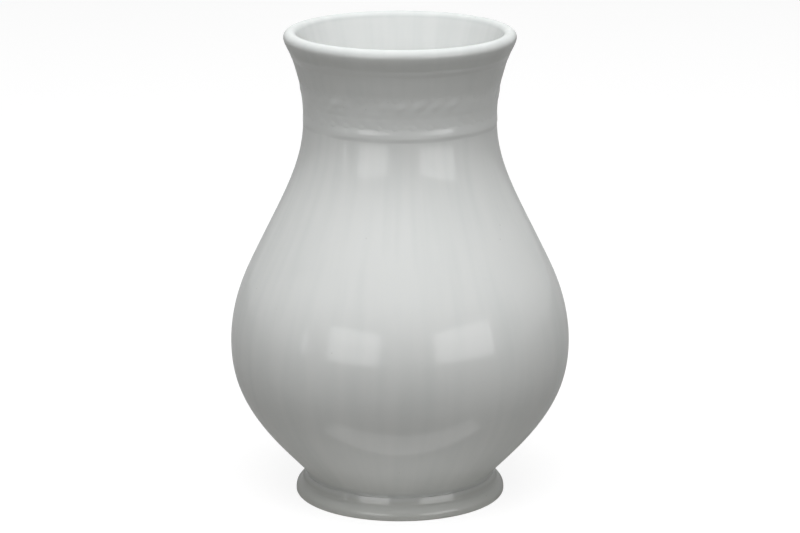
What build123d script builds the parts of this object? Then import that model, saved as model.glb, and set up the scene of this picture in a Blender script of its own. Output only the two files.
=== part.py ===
from build123d import *

import math
import os

# Pear-shaped porcelain vase: low full belly, waisted neck, flared mouth, luted foot ring.
# Millimetres, +Z up. The origin is the centre of the standing ring, on the surface below it.

# The cast body: radii from the axis, and how far each landmark rises above the one below
cone_rise = 9.9
belly_rise = 44.5
swell_rise = 36.6
waist_rise = 54.6
mouth_rise = 35.3
belly_radius = 68.15
swell_radius = 58.0
waist_radius = 38.45
lip_radius = 46.05
lip_bead_radius = 2.7
body_wall = 3.8
body_floor = 4.6
floor_flat_inset = 7.3

# Run of the outline: radius gained for each unit of height, and the angle under the lip
cone_slope_share = 0.96
swell_slope_share = -0.484
lip_turn_degrees = 18.0

# Handle lengths of the outline's curves, as shares of the height that each curve spans
lower_belly_shares = (0.384, 0.346)
upper_belly_shares = (0.445, 0.227)
shoulder_shares = (0.418, 0.338)
flare_shares = (0.544, 0.33)
inner_floor_shares = (0.55, 0.42)

# The foot ring, cast on its own: its radius, and steps inwards from it
foot_radius = 42.3
foot_height = 8.8
foot_edge_round = 0.85
foot_side_height = 1.2
foot_shoulder_height = 5.0
foot_shoulder_inset = 1.7
standing_ring_width = 2.5
skirt_inset = 0.35
collar_inset = 3.55
collar_height = 2.1
collar_lean = 0.6
collar_round = 0.5
joint_land_width = 5.45
foot_shoulder_shares = (0.55, 0.25)
foot_cove_shares = (0.35, 0.55)

# The joint of slip between foot and body, and the boss that centres the body in the foot
slip_thickness = 0.3
boss_depth = 0.8
boss_dome = 0.9
base_corner_inset = 1.55
seam_rise = 1.6
seam_hollow = 0.3

# The film of slip that holds strips, sprigs and berries on the neck
slip_film = 0.05

# The applied strips that border the garland
lower_strip_drop = 0.3
lower_strip_width = 2.6
lower_strip_rise = 0.6
upper_strip_drop = 10.7
upper_strip_width = 1.5
upper_strip_rise = 0.35

# The laurel garland round the neck: pressed sprigs and berries
sprig_count = 12
leaf_pairs = 3
garland_rise = 8.8
leaf_slant_degrees = 33.0
leaf_rise = 0.8
stem_width = 1.7
stem_rise = 0.55
berry_width = 2.2
berry_rise = 0.8
berry_offset = 5.6
leaf_length_share = 1.02
leaf_width_share = 0.46
leaf_offset_share = 0.38
stem_sweep_share = 0.96
berry_place_share = 0.74

FULL_TURN = 360.0

collar_radius = foot_radius - collar_inset
foot_bore_radius = collar_radius - joint_land_width
ring_inner_radius = foot_radius - foot_edge_round - standing_ring_width
foot_skirt_radius = ring_inner_radius - skirt_inset
joint_height = foot_height + slip_thickness
cone_top_height = joint_height + cone_rise
belly_height = cone_top_height + belly_rise
swell_height = belly_height + swell_rise
waist_height = swell_height + waist_rise
total_height = waist_height + mouth_rise
base_corner_radius = collar_radius - base_corner_inset
cone_top_radius = base_corner_radius + cone_slope_share * cone_rise
boss_radius = foot_bore_radius - slip_thickness
floor_flat_radius = foot_bore_radius - floor_flat_inset
garland_height = waist_height + garland_rise
lower_strip_height = waist_height - lower_strip_drop
upper_strip_height = total_height - upper_strip_drop
sprig_pitch_degrees = FULL_TURN / sprig_count
leaf_pitch_degrees = sprig_pitch_degrees / leaf_pairs
leaf_pitch = math.radians(leaf_pitch_degrees) * waist_radius
leaf_length = leaf_length_share * leaf_pitch
leaf_width = leaf_width_share * leaf_length
leaf_offset = leaf_offset_share * leaf_length


def curve_points(start, start_run, end, end_run, shares):
    """Control points of a cubic from start to end; a run is radius per unit of height."""
    span = end[1] - start[1]
    first, last = shares[0] * span, shares[1] * span
    near_start = (start[0] + start_run * first, start[1] + first)
    near_end = (end[0] - end_run * last, end[1] - last)
    return [start, near_start, near_end, end]


def cubic_value(points, axis, share):
    """One coordinate of a cubic at a share of its parameter."""
    left = 1 - share
    weights = (left ** 3, 3 * left ** 2 * share, 3 * left * share ** 2, share ** 3)
    return sum(weight * point[axis] for weight, point in zip(weights, points))


def inset_point(point, run, depth):
    """The point that lies depth inside the wall, square to an outline with this run."""
    length = math.hypot(1, run)
    return (point[0] - depth / length, point[1] + depth * run / length)


# Landmarks of the outer outline, each a radius and a height
base_corner = (base_corner_radius, joint_height)
cone_top = (cone_top_radius, cone_top_height)
belly = (belly_radius, belly_height)
swell = (swell_radius, swell_height)
waist = (waist_radius, waist_height)
lip_centre = (lip_radius - lip_bead_radius, total_height - lip_bead_radius)
lip_turn = math.radians(lip_turn_degrees)
lip_run = math.tan(lip_turn)
lip_reach = lip_bead_radius * math.cos(lip_turn)
lip_dip = lip_bead_radius * math.sin(lip_turn)
lip_outside = (lip_centre[0] + lip_reach, lip_centre[1] - lip_dip)
lip_inside = (lip_centre[0] - lip_reach, lip_centre[1] + lip_dip)
lip_crest = (lip_centre[0] + lip_dip, lip_centre[1] + lip_reach)

outer_curves = [
    curve_points(cone_top, cone_slope_share, belly, 0, lower_belly_shares),
    curve_points(belly, 0, swell, swell_slope_share, upper_belly_shares),
    curve_points(swell, swell_slope_share, waist, 0, shoulder_shares),
    curve_points(waist, 0, lip_outside, lip_run, flare_shares),
]


def outer_radius(height):
    """Radius of the body's outside at a height between the cone's top and the lip."""
    span = next(points for points in outer_curves if height <= points[3][1])
    low, high = 0.0, 1.0
    for _ in range(50):
        middle = (low + high) / 2
        if cubic_value(span, 1, middle) < height:
            low = middle
        else:
            high = middle
    return cubic_value(span, 0, low)


def flat(point):
    """A radius and a height as a point of the section plane."""
    return (point[0], 0, point[1])


def spin(edges):
    """The solid that a closed chain of section edges sweeps in a full turn."""
    section = make_face(Wire(edges))
    return revolve(section, axis=Axis.Z, revolution_arc=FULL_TURN)


def make_neck_blank_section():
    """Half the section of the filled neck with its film of slip, which trims the relief."""
    top_height = lip_outside[1]
    bottom_height = swell_height
    edges = []
    for points in outer_curves[2:]:
        edges.append(Bezier(*[flat((radius + slip_film, height)) for radius, height in points]))
    outside_top = (lip_outside[0] + slip_film, top_height)
    outside_bottom = (swell_radius + slip_film, bottom_height)
    edges.append(Line(flat(outside_top), flat((0, top_height))))
    edges.append(Line(flat((0, top_height)), flat((0, bottom_height))))
    edges.append(Line(flat((0, bottom_height)), flat(outside_bottom)))
    return make_face(Wire(edges))


def make_vase_body():
    """The hollow cast body: outside, rolled lip, inside, floor and centring boss."""
    inner_cone_top = inset_point(cone_top, cone_slope_share, body_wall)
    inner_belly = inset_point(belly, 0, body_wall)
    inner_swell = inset_point(swell, swell_slope_share, body_wall)
    inner_waist = inset_point(waist, 0, body_wall)
    floor_height = joint_height + body_floor
    floor_edge = (floor_flat_radius, floor_height)
    floor_out = inner_floor_shares[0] * (inner_cone_top[0] - floor_flat_radius)
    floor_up = inner_floor_shares[1] * (inner_cone_top[1] - floor_height)
    inner_floor = [
        inner_cone_top,
        (inner_cone_top[0] - cone_slope_share * floor_up, inner_cone_top[1] - floor_up),
        (floor_flat_radius + floor_out, floor_height),
        floor_edge,
    ]
    inner_curves = [
        curve_points(inner_cone_top, cone_slope_share, inner_belly, 0, lower_belly_shares),
        curve_points(inner_belly, 0, inner_swell, swell_slope_share, upper_belly_shares),
        curve_points(inner_swell, swell_slope_share, inner_waist, 0, shoulder_shares),
        curve_points(inner_waist, 0, lip_inside, lip_run, flare_shares),
    ]
    boss_height = joint_height - boss_depth
    boss_edge = (boss_radius, boss_height)
    boss_top = (boss_radius, joint_height)
    dome_height = boss_height + boss_dome
    dome_side = (boss_radius * math.sqrt(0.5), boss_height + boss_dome / 2)

    edges = [Line(flat(base_corner), flat(cone_top))]
    edges += [Bezier(*[flat(point) for point in points]) for points in outer_curves]
    edges.append(ThreePointArc(flat(lip_outside), flat(lip_crest), flat(lip_inside)))
    for points in reversed(inner_curves):
        edges.append(Bezier(*[flat(point) for point in reversed(points)]))
    edges.append(Bezier(*[flat(point) for point in inner_floor]))
    edges.append(Line(flat(floor_edge), flat((0, floor_height))))
    edges.append(Line(flat((0, floor_height)), flat((0, dome_height))))
    dome = Spline(
        flat((0, dome_height)),
        flat(dome_side),
        flat(boss_edge),
        tangents=[(1, 0, 0), (boss_radius, 0, -boss_dome - boss_dome)],
    )
    edges.append(dome)
    edges.append(Line(flat(boss_edge), flat(boss_top)))
    edges.append(Line(flat(boss_top), flat(base_corner)))
    return spin(edges)


def foot_section_points():
    """Named corners of the foot ring's section."""
    shoulder_radius = foot_radius - foot_shoulder_inset
    collar_top = foot_height - collar_round
    points = {
        "ring_outside": (foot_radius - foot_edge_round, 0),
        "side_bottom": (foot_radius, foot_edge_round),
        "side_top": (foot_radius, foot_side_height),
        "shoulder": (shoulder_radius, foot_shoulder_height),
        "collar_base": (collar_radius + collar_lean, collar_top - collar_height),
        "collar_top": (collar_radius, collar_top),
        "land_outside": (collar_radius - collar_round, foot_height),
        "land_inside": (foot_bore_radius, foot_height),
    }
    return points


def make_foot_ring():
    """The foot: a rounded flare under a short collar, hollow within, on a flat ring."""
    points = foot_section_points()
    lean_run = -collar_lean / collar_height
    side_curve = curve_points(
        points["side_top"], 0, points["shoulder"], -1, foot_shoulder_shares)
    cove_curve = curve_points(
        points["shoulder"], -1, points["collar_base"], lean_run, foot_cove_shares)
    edge_middle = (
        foot_radius - foot_edge_round * (1 - math.sqrt(0.5)),
        foot_edge_round * (1 - math.sqrt(0.5)),
    )
    top_middle = (
        collar_radius - collar_round * (1 - math.sqrt(0.5)),
        foot_height - collar_round * (1 - math.sqrt(0.5)),
    )
    ring_inside = (ring_inner_radius, 0)
    skirt_edge = (foot_skirt_radius, foot_edge_round)
    bore_foot = (foot_bore_radius, joint_height - boss_depth)
    skirt_middle = (
        foot_bore_radius + (foot_skirt_radius - foot_bore_radius) * math.sqrt(0.5),
        foot_edge_round + (bore_foot[1] - foot_edge_round) * math.sqrt(0.5),
    )
    edges = [
        ThreePointArc(flat(points["ring_outside"]), flat(edge_middle),
                      flat(points["side_bottom"])),
        Line(flat(points["side_bottom"]), flat(points["side_top"])),
        Bezier(*[flat(point) for point in side_curve]),
        Bezier(*[flat(point) for point in cove_curve]),
        Line(flat(points["collar_base"]), flat(points["collar_top"])),
        ThreePointArc(flat(points["collar_top"]), flat(top_middle),
                      flat(points["land_outside"])),
        Line(flat(points["land_outside"]), flat(points["land_inside"])),
        Line(flat(points["land_inside"]), flat(bore_foot)),
        ThreePointArc(flat(bore_foot), flat(skirt_middle), flat(skirt_edge)),
        Line(flat(skirt_edge), flat(ring_inside)),
        Line(flat(ring_inside), flat(points["ring_outside"])),
    ]
    return spin(edges)


def make_luting_seam():
    """The ring of slip that fills the joint and shows as a small hollow bead round it."""
    land_outside = foot_section_points()["land_outside"]
    land_inside = foot_section_points()["land_inside"]
    boss_height = joint_height - boss_depth
    seam_top = (base_corner_radius + cone_slope_share * seam_rise, joint_height + seam_rise)
    seam_middle = (
        (land_outside[0] + seam_top[0]) / 2 - seam_hollow,
        (land_outside[1] + seam_top[1]) / 2,
    )
    corners = [
        seam_top,
        base_corner,
        (boss_radius, joint_height),
        (boss_radius, boss_height),
        (foot_bore_radius, boss_height),
        land_inside,
        land_outside,
    ]
    edges = [ThreePointArc(flat(land_outside), flat(seam_middle), flat(seam_top))]
    edges += [Line(flat(start), flat(end)) for start, end in zip(corners, corners[1:])]
    return spin(edges)


def bead_radius(width, rise):
    """Radius of the round whose cap is this wide and stands this far out."""
    return (width ** 2 / 4 + rise ** 2) / (2 * rise)


def make_bead_section(blank_section, height, width, rise):
    """The section of a half-round strip, trimmed to sit on the neck."""
    radius = bead_radius(width, rise)
    centre = (outer_radius(height) + rise - radius, 0, height)
    return Plane(origin=centre, z_dir=(0, -1, 0)) * Circle(radius) - blank_section


def make_strip(blank_section, height, width, rise):
    """A half-round strip pressed on to the neck all the way round."""
    section = make_bead_section(blank_section, height, width, rise)
    return revolve(section, axis=Axis.Z, revolution_arc=FULL_TURN)


def make_leaf(angle, side):
    """One lens-shaped leaf on the neck; side is 1 above the stem and -1 below it."""
    round_radius = bead_radius(leaf_width, leaf_rise)
    arc_radius = bead_radius(leaf_length, leaf_rise)
    half_length = math.sqrt(arc_radius ** 2 - (arc_radius - round_radius) ** 2)
    arc = ThreePointArc((0, -half_length, 0), (round_radius, 0, 0), (0, half_length, 0))
    axis_line = Line((0, half_length, 0), (0, -half_length, 0))
    leaf = revolve(make_face(Wire([arc, axis_line])), axis=Axis.Y, revolution_arc=FULL_TURN)
    height = garland_height + side * leaf_offset
    place = Pos(outer_radius(height) + leaf_rise - round_radius, 0, height)
    return Rot(0, 0, angle) * place * Rot(side * leaf_slant_degrees, 0, 0) * leaf


def make_sprig(blank, blank_section):
    """One pressed sprig, centred on +X: a stem with slanted leaves above and below."""
    sweep = stem_sweep_share * sprig_pitch_degrees
    stem_section = make_bead_section(blank_section, garland_height, stem_width, stem_rise)
    stem = revolve(stem_section, axis=Axis.Z, revolution_arc=sweep)
    sprig = Rot(0, 0, -sweep / 2) * stem
    for place in range(leaf_pairs):
        angle = (place - (leaf_pairs - 1) / 2) * leaf_pitch_degrees
        sprig += make_leaf(angle, 1) - blank
        sprig += make_leaf(angle, -1) - blank
    return sprig


def make_berries(blank, side):
    """The berries of the whole garland on one side of the stem."""
    radius = bead_radius(berry_width, berry_rise)
    height = garland_height + side * berry_offset
    centre = outer_radius(height) + berry_rise - radius
    berry = Pos(centre, 0, height) * Sphere(radius) - blank
    count = sprig_count * leaf_pairs
    first_angle = berry_place_share * leaf_pitch_degrees
    turns = [first_angle + place * leaf_pitch_degrees for place in range(count)]
    return Compound([Rot(0, 0, turn) * berry.solids()[0] for turn in turns])


def main():
    """Make every piece and write each one under its node's name."""
    blank_section = make_neck_blank_section()
    blank = revolve(blank_section, axis=Axis.Z, revolution_arc=FULL_TURN)
    pieces = {
        "vase_body": make_vase_body(),
        "foot_ring": make_foot_ring(),
        "luting_seam": make_luting_seam(),
        "lower_border_strip": make_strip(
            blank_section, lower_strip_height, lower_strip_width, lower_strip_rise),
        "upper_border_strip": make_strip(
            blank_section, upper_strip_height, upper_strip_width, upper_strip_rise),
        "upper_berries": make_berries(blank, 1),
        "lower_berries": make_berries(blank, -1),
    }
    sprig = make_sprig(blank, blank_section)
    for place in range(sprig_count):
        turn = Rot(0, 0, place * sprig_pitch_degrees)
        pieces[f"laurel_sprig_{place + 1:02d}"] = turn * sprig
    os.makedirs("parts", exist_ok=True)
    for name, piece in pieces.items():
        export_step(piece, f"parts/{name}.step")


main()
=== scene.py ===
"""White porcelain vase: glazed body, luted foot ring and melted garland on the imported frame."""

from bisect import bisect_left
import math
from typing import NamedTuple

import bmesh
import bpy
from bpy.props import FloatProperty, FloatVectorProperty, IntProperty, PointerProperty
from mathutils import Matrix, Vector, noise
from mathutils.geometry import interpolate_bezier


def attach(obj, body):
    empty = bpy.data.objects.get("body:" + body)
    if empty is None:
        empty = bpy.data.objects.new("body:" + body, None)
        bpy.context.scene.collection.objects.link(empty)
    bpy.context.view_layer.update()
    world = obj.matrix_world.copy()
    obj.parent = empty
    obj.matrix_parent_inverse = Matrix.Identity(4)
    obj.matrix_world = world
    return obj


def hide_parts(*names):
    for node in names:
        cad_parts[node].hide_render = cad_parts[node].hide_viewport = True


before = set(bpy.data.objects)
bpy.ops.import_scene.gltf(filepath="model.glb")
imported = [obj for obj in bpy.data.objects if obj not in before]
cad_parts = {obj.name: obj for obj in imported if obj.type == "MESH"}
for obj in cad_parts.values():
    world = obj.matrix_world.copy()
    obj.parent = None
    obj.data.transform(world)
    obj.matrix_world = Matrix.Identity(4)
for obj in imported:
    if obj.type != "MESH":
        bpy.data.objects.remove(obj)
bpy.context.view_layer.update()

bl_info = {
    "name": "Porcelain vase",
    "version": (1, 0, 0),
    "blender": (4, 5, 0),
    "location": "3D View > Sidebar > Vase",
    "description": "Builds a glazed, low-bellied porcelain vase with a pressed garland",
    "category": "Add Mesh",
}

MM = 0.001
BODY = "root"

# Mesh making: sectors in one turn, gaps at which points count as one, and the sharp edges
SECTORS = 8
POINT_GAP = 0.0038 * MM
WELD_GAP = 0.001 * MM
SHARP_ANGLE = math.radians(40)

# Landmarks of the outline: radius and height, with the run of radius per unit of height
BASE_CORNER = (37.2 * MM, 9.1 * MM)
CONE_TOP = (46.704 * MM, 19.0 * MM)
BELLY = (68.15 * MM, 63.5 * MM)
SWELL = (58.0 * MM, 100.1 * MM)
WAIST = (38.45 * MM, 154.7 * MM)
CONE_RUN = 0.96
SWELL_RUN = -0.484
LIP_ANGLE = math.radians(18.0)
LIP_BEAD = 2.7 * MM
LIP_CENTRE = (43.35 * MM, 187.3 * MM)
WALL = 3.8 * MM
FLOOR_HEIGHT = 13.7 * MM
FLOOR_FLAT = 26.0 * MM

# The slight hollow under the lip
COVE_HEIGHT = 180.2 * MM
COVE_BELOW = 8.0 * MM
COVE_ABOVE = 5.6 * MM
COVE_DEPTH = 0.48 * MM

# Handle lengths of the outline's curves, as shares of the height that each curve spans
LOWER_BELLY_HANDLES = (0.384, 0.346)
UPPER_BELLY_HANDLES = (0.445, 0.227)
SHOULDER_HANDLES = (0.418, 0.338)
FLARE_HANDLES = (0.544, 0.33)
INNER_FLOOR_HANDLES = (0.55, 0.42)
FOOT_SIDE_HANDLES = (0.55, 0.25)
FOOT_SHOULDER_HANDLES = (0.35, 0.55)

# Points on each stretch of the outline: lower belly, upper belly, shoulder and flare
OUTSIDE_POINTS = (28, 20, 34, 28)
INSIDE_POINTS = (12, 8, 14, 12)
CONE_POINTS = 5
LIP_POINTS = 15
INNER_CURVE_POINTS = 9
INNER_FLAT_POINTS = 4

# The foot ring, the boss inside it and the slip between foot and body
FOOT_RADIUS = 42.3 * MM
FOOT_HEIGHT = 8.8 * MM
FOOT_EDGE = 0.85 * MM
FOOT_SIDE_TOP = 1.2 * MM
FOOT_SHOULDER = (40.6 * MM, 5.0 * MM)
FOOT_SHOULDER_RUN = -1
RING_INNER = 38.95 * MM
SKIRT_RADIUS = 38.6 * MM
SKIRT_STEPS = 9
BORE_RADIUS = 33.3 * MM
COLLAR_RADIUS = 38.75 * MM
COLLAR_HEIGHT = 2.1 * MM
COLLAR_LEAN = 0.6 * MM
COLLAR_ROUND = 0.5 * MM
BARE_HEIGHT = 0.45 * MM
FOOT_EDGE_POINTS = 8
FOOT_SIDE_POINTS = 16
FOOT_SHOULDER_POINTS = 10
COLLAR_POINTS = 5
COLLAR_ROUND_POINTS = 7
BOSS_RADIUS = 33.0 * MM
BOSS_DEPTH = 0.8 * MM
BOSS_DOME = 0.9 * MM
BOSS_SHARES = (0, 0.25, 0.5, 0.75, 0.92, 1)
SEAM_TOP_RISE = 1.6 * MM
SEAM_HOLLOW = 0.3 * MM
SEAM_STEPS = 10
SEAM_BITE = 0.3 * MM
SEAM_PLAY = 0.1 * MM

# The flutes: deeper and shallower by turns, arched at the top and fading towards the foot
FLUTE_BEAT = 0.3
FLUTE_ARCH = 1.6 * MM
FLUTE_TOP = (150.2 * MM, 152.4 * MM)
FLUTE_FOOT = (30 * MM, 52 * MM)

# The strips on the neck: a crest of -1 is at the lower edge, and 1 at the upper edge. The shifts
# give each strip noise of its own.
LOWER_STRIP_HEIGHT = 155.3 * MM
UPPER_STRIP_HEIGHT = 180.0 * MM
LOWER_STRIP_CREST = -0.3
UPPER_STRIP_CREST = 0.1
LOWER_STRIP_WANDER = 0.4 * MM
UPPER_STRIP_WANDER = 0.2 * MM
STRIP_STEPS = 18
STRIP_UNEVENNESS = 0.6
UNEVENNESS_SCALE = 3.0
WANDER_SCALE = 2.2
WANDER_SHIFT = Vector((0, 0, 5))
STRIP_SHIFT = 20
FADE_SPAN = (0.4, 0.8)

# The garland: sprigs of melted leaves, worn unevenly, and berries between their tips
GARLAND_HEIGHT = 163.5 * MM
SPRIGS = 12
SPRIG_GRID = (72, 48)
SPRIG_HALF_HEIGHT = 6.4 * MM
SPRIG_THICKNESS = 0.6 * MM
LEAF_PAIRS = 3
LEAF_PITCH = math.tau / (SPRIGS * LEAF_PAIRS)
LEAF_LENGTH = 6.84 * MM
LEAF_WIDTH = 3.15 * MM
LEAF_OFFSET = 2.6 * MM
LEAF_SLANT = math.radians(33.0)
LEAF_TIP_SHARE = 0.8
WORN_SHARE = 0.8
WEAR_SCALE = 3.1
FINE_WEAR = 0.5
FINE_WEAR_SCALE = 9.0
SINK = 0.004 * MM
STEM_WIDTH = 1.7 * MM
BERRY_OFFSET = 5.6 * MM
BERRY_PLACE = 0.74
BERRY_STEPS = 16
BERRY_RINGS = 5
BERRY_ROOT = 0.8 * MM

# Where each glaze lies thick, or is darkened as painted shade: from one height to another, and
# how much
BODY_POOLING = (20 * MM, 60 * MM, 0.15)
# Painted shade: the lip's top is darkened with the tint of thick glaze, where the light from
# above falls strongest
RIM_PAINTED_SHADE = (187 * MM, 189 * MM, 0.7)
# Painted shade: the foot is darkened with the tint of thick glaze below its collar, where the
# belly above shadows it
FOOT_PAINTED_SHADE = (6.2 * MM, 8.2 * MM, 1.0)
SEAM_POOLING = (9 * MM, 12 * MM, 0.1)
RELIEF_POOLING = (160 * MM, 170 * MM, 0.1)

# What else sets the glazes apart: streaks, the darker tint of the foot's painted shade, gloss,
# slow swell and specks
BODY_STREAKS = 1.1
# Painted shade: darkens the foot's tint further, for the shadow under the belly
FOOT_PAINTED_SHADE_TINT = (0.96, 0.94, 0.92)
FOOT_SHINE = 1.4
RELIEF_SHINE = 1.6
RELIEF_SWELL = 0.6
RELIEF_SPECKS = 0.2

# The pattern of the glaze, and the bare porcelain of the standing ring
GLAZE_IOR = 1.5
GLAZE_ROUGHNESS = 0.42
SPECK_ROUGHNESS = 0.6
BISCUIT_ROUGHNESS = 0.85
RIPPLE_DEPTH = 0.02 * MM
RIPPLE_SWELL_SCALE = 55.0
RIPPLE_PEEL_SCALE = 620.0
CLOUD_SCALE = 26.0
CLOUD_SPAN = (0.35, 0.75)
STREAK_SCALE = 11.0
STREAK_CHANGE = 1.5
SPECK_SCALE = 230.0
SPECK_SPAN = (0.045, 0.085)
SPECK_RARITY = 0.93
SPECK_COLOUR = (0.36, 0.34, 0.31)
BARE_EDGE_SCALE = 420.0
BARE_EDGE_WANDER = 0.5 * MM
BARE_EDGE_FADE = 0.25 * MM
GRAIN_SCALE = 2400.0
GRAIN_SHADE = 0.93

# The floor as it is seen and mirrored, its brighter part near the foot, and the room
FLOOR_RADIUS = 4.0
FLOOR_SIDES = 64
FLOOR_SEEN = (0.22, 0.22, 0.22)
FLOOR_MIRRORED = (0.6, 0.6, 0.6)
MIRRORED_GLOW = 0.2
NEAR_BOUNCE = 1.5
NEAR_SPAN = (0.045, 0.085)
ROOM_SPAN = (-0.2, 1.0)
ROOM_TOP = 3

# The camera, the lamps' watts per square metre at a brightness of 1, and the windows' distance
SENSOR_WIDTH = 36
NEAREST_VIEW = 0.01
LAMP_POWER = 4
WINDOW_DISTANCE = 1.1


class Softbox(NamedTuple):
    """A rectangular lamp that faces down until tilt tips it; turn swings it round the upright.

    brightness names its setting in VaseStudio.
    """

    name: str
    brightness: str
    place: tuple
    tilt: float
    turn: float = 0.0
    size: tuple = (1.0, 1.0)
    mirrored: bool = False
    lights: bool = True


class Window(NamedTuple):
    """An upright lamp that only the glaze mirrors; azimuth 0 is the camera's side.

    share is its brightness as a share of the windows' setting in VaseStudio.
    """

    name: str
    azimuth: float
    width: float
    low: float
    high: float
    share: float = 1.0


SOFTBOXES = (
    Softbox("key softbox", "key", (0, -0.6, 1.5), math.radians(20), size=(1.4, 1.4)),
    Softbox("back softbox", "back", (0, 0.92, 1.05), math.radians(-45)),
    Softbox("table light", "table_light", (0, -0.075, 0.001), math.pi, size=(0.22, 0.03)),
    Softbox("table sheen", "table_sheen", (0.0045, -0.071, 0.002), math.pi,
            size=(0.123, 0.022), mirrored=True, lights=False),
    Softbox("right softbox", "side", (0.92, 0, 1.05), math.radians(45), math.pi / 2),
    Softbox("left softbox", "side", (-0.92, 0, 1.05), math.radians(45), -math.pi / 2),
)
WINDOWS = (
    Window("left window", math.radians(-30.2), width=0.71, low=0.028, high=0.45),
    Window("right window", math.radians(43.5), width=0.82, low=0.05, high=0.45),
    Window("edge strip", math.radians(-66.0), width=0.09, low=0.02, high=0.3, share=0.75),
)


class VaseSizes(bpy.types.PropertyGroup):
    """Sizes of the soft detail that the glaze leaves on the cast forms."""

    body_steps: IntProperty(
        name="Steps round the body", default=480, min=120, max=540,
        description="Mesh steps in one turn of the body")
    ring_steps: IntProperty(
        name="Steps round foot and strips", default=288, min=96, max=480,
        description="Mesh steps in one turn of the foot, seam and strips")
    flute_count: IntProperty(
        name="Flutes", default=60, min=12, max=90,
        description="Shallow flutes that run down the body from the lower strip")
    flute_depth: FloatProperty(
        name="Flute depth", default=0.02 * MM, min=0, max=0.5 * MM,
        unit="LENGTH", precision=5, description="Depth of a flute at the widest place")
    lower_strip_width: FloatProperty(
        name="Lower strip width", default=6.0 * MM, unit="LENGTH", precision=5,
        description="Width of the strip under the garland, soft edges included")
    lower_strip_rise: FloatProperty(
        name="Lower strip rise", default=0.24 * MM, unit="LENGTH", precision=5,
        description="How far the strip under the garland stands out")
    lower_strip_fade: FloatProperty(
        name="Lower strip fade", default=0.6, min=0, max=1, subtype="FACTOR",
        description="How far the strip under the garland sinks on the left")
    upper_strip_width: FloatProperty(
        name="Upper strip width", default=3.4 * MM, unit="LENGTH", precision=5,
        description="Width of the fine line under the mouth, soft edges included")
    upper_strip_rise: FloatProperty(
        name="Upper strip rise", default=0.1 * MM, unit="LENGTH", precision=5,
        description="How far the fine line under the mouth stands out")
    leaf_rise: FloatProperty(
        name="Leaf rise", default=0.23 * MM, unit="LENGTH", precision=5,
        description="How far the middle of a leaf stands out")
    leaf_spread: FloatProperty(
        name="Leaf spread", default=0.58, min=0.1, max=1, subtype="FACTOR",
        description="Share of a leaf's size over which its softened edge falls away")
    leaf_wear: FloatProperty(
        name="Leaf wear", default=1.6, min=0, max=2, subtype="FACTOR",
        description="How unevenly the glaze has filled the garland in")
    lower_leaves: FloatProperty(
        name="Lower leaves", default=0.22, min=0, max=1, subtype="FACTOR",
        description="How far the lower row of leaves stands out, as a share of the upper one")
    stem_rise: FloatProperty(
        name="Stem rise", default=0.05 * MM, unit="LENGTH", precision=5,
        description="How far the garland's stem stands out")
    berry_rise: FloatProperty(
        name="Berry rise", default=0.06 * MM, unit="LENGTH", precision=5,
        description="How far a berry stands out")
    berry_radius: FloatProperty(
        name="Berry radius", default=2.1 * MM, unit="LENGTH", precision=5,
        description="Radius of a berry, soft edge included")


class VaseFinish(bpy.types.PropertyGroup):
    """Colours and gloss of the porcelain."""

    glaze_colour: FloatVectorProperty(
        name="Glaze", subtype="COLOR", size=3, default=(0.835, 0.853, 0.843),
        description="Colour of the porcelain under its clear glaze")
    # Also the colour of the painted shade on the lip's top and the foot
    pooled_or_shaded_colour: FloatVectorProperty(
        name="Pooled glaze", subtype="COLOR", size=3, default=(0.745, 0.775, 0.765),
        description="Colour where the glaze lies thick")
    biscuit_colour: FloatVectorProperty(
        name="Biscuit", subtype="COLOR", size=3, default=(0.74, 0.725, 0.69),
        description="Bare, unglazed porcelain of the standing ring")
    gloss: FloatProperty(
        name="Gloss", default=0.35, min=0, max=1, subtype="FACTOR",
        description="Strength of the clear layer over the porcelain")
    gloss_roughness: FloatProperty(
        name="Gloss roughness", default=0.1, min=0, max=1, subtype="FACTOR",
        description="Roughness of the clear layer")


class VaseStudio(bpy.types.PropertyGroup):
    """Camera and lights, at a plain level."""

    bounce_colour: FloatVectorProperty(
        name="Bounce", subtype="COLOR", size=3, default=(1.0, 0.98, 0.93),
        description="Colour of the light that the floor throws back")
    lens: FloatProperty(
        name="Lens", default=142.1, subtype="DISTANCE_CAMERA",
        description="Focal length on a sensor 36 mm wide")
    camera_distance: FloatProperty(
        name="Camera distance", default=1.2276, unit="LENGTH",
        description="Level distance from the vase's axis to the camera")
    camera_height: FloatProperty(
        name="Camera height", default=0.4138, unit="LENGTH",
        description="Height of the camera over the floor")
    camera_pitch: FloatProperty(
        name="Camera pitch", default=math.radians(14.62), subtype="ANGLE",
        description="How far the camera looks down")
    key: FloatProperty(
        name="Key softbox", default=3.34,
        description="Brightness of the large softbox above and in front")
    back: FloatProperty(
        name="Back softbox", default=0.4,
        description="Brightness of the raised softbox behind")
    table_light: FloatProperty(
        name="Table light", default=0.34,
        description="Brightness of the low strip that lights the foot from in front")
    table_sheen: FloatProperty(
        name="Table sheen", default=1.5,
        description="Brightness that the glaze mirrors of the low strip")
    side: FloatProperty(
        name="Side softboxes", default=0.565,
        description="Brightness of the two raised softboxes at the sides")
    window: FloatProperty(
        name="Windows", default=4.2,
        description="Brightness of the upright lights that the glaze mirrors")
    ambient: FloatProperty(
        name="Ambient", default=0.004, min=0, max=1,
        description="Brightness of the room for surfaces that no lamp reaches")
    floor_glow: FloatProperty(
        name="Floor brightness", default=0.87, min=0, max=1,
        description="Share of the floor's white that doesn't depend on the lamps")
    floor_albedo: FloatProperty(
        name="Floor albedo", default=0.05, min=0, max=1,
        description="Share of the lamps' light that the floor throws back at the vase")
    floor_bounce: FloatProperty(
        name="Floor bounce", default=0.216, min=0, max=1,
        description="Brightness of the floor as a source of soft light")


def curve_points(knots, count):
    """Points of the curve that four knots of radius and height give."""
    curve = interpolate_bezier(*[Vector((radius, 0, height)) for radius, height in knots], count)
    return [(point.x, point.z) for point in curve]


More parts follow.
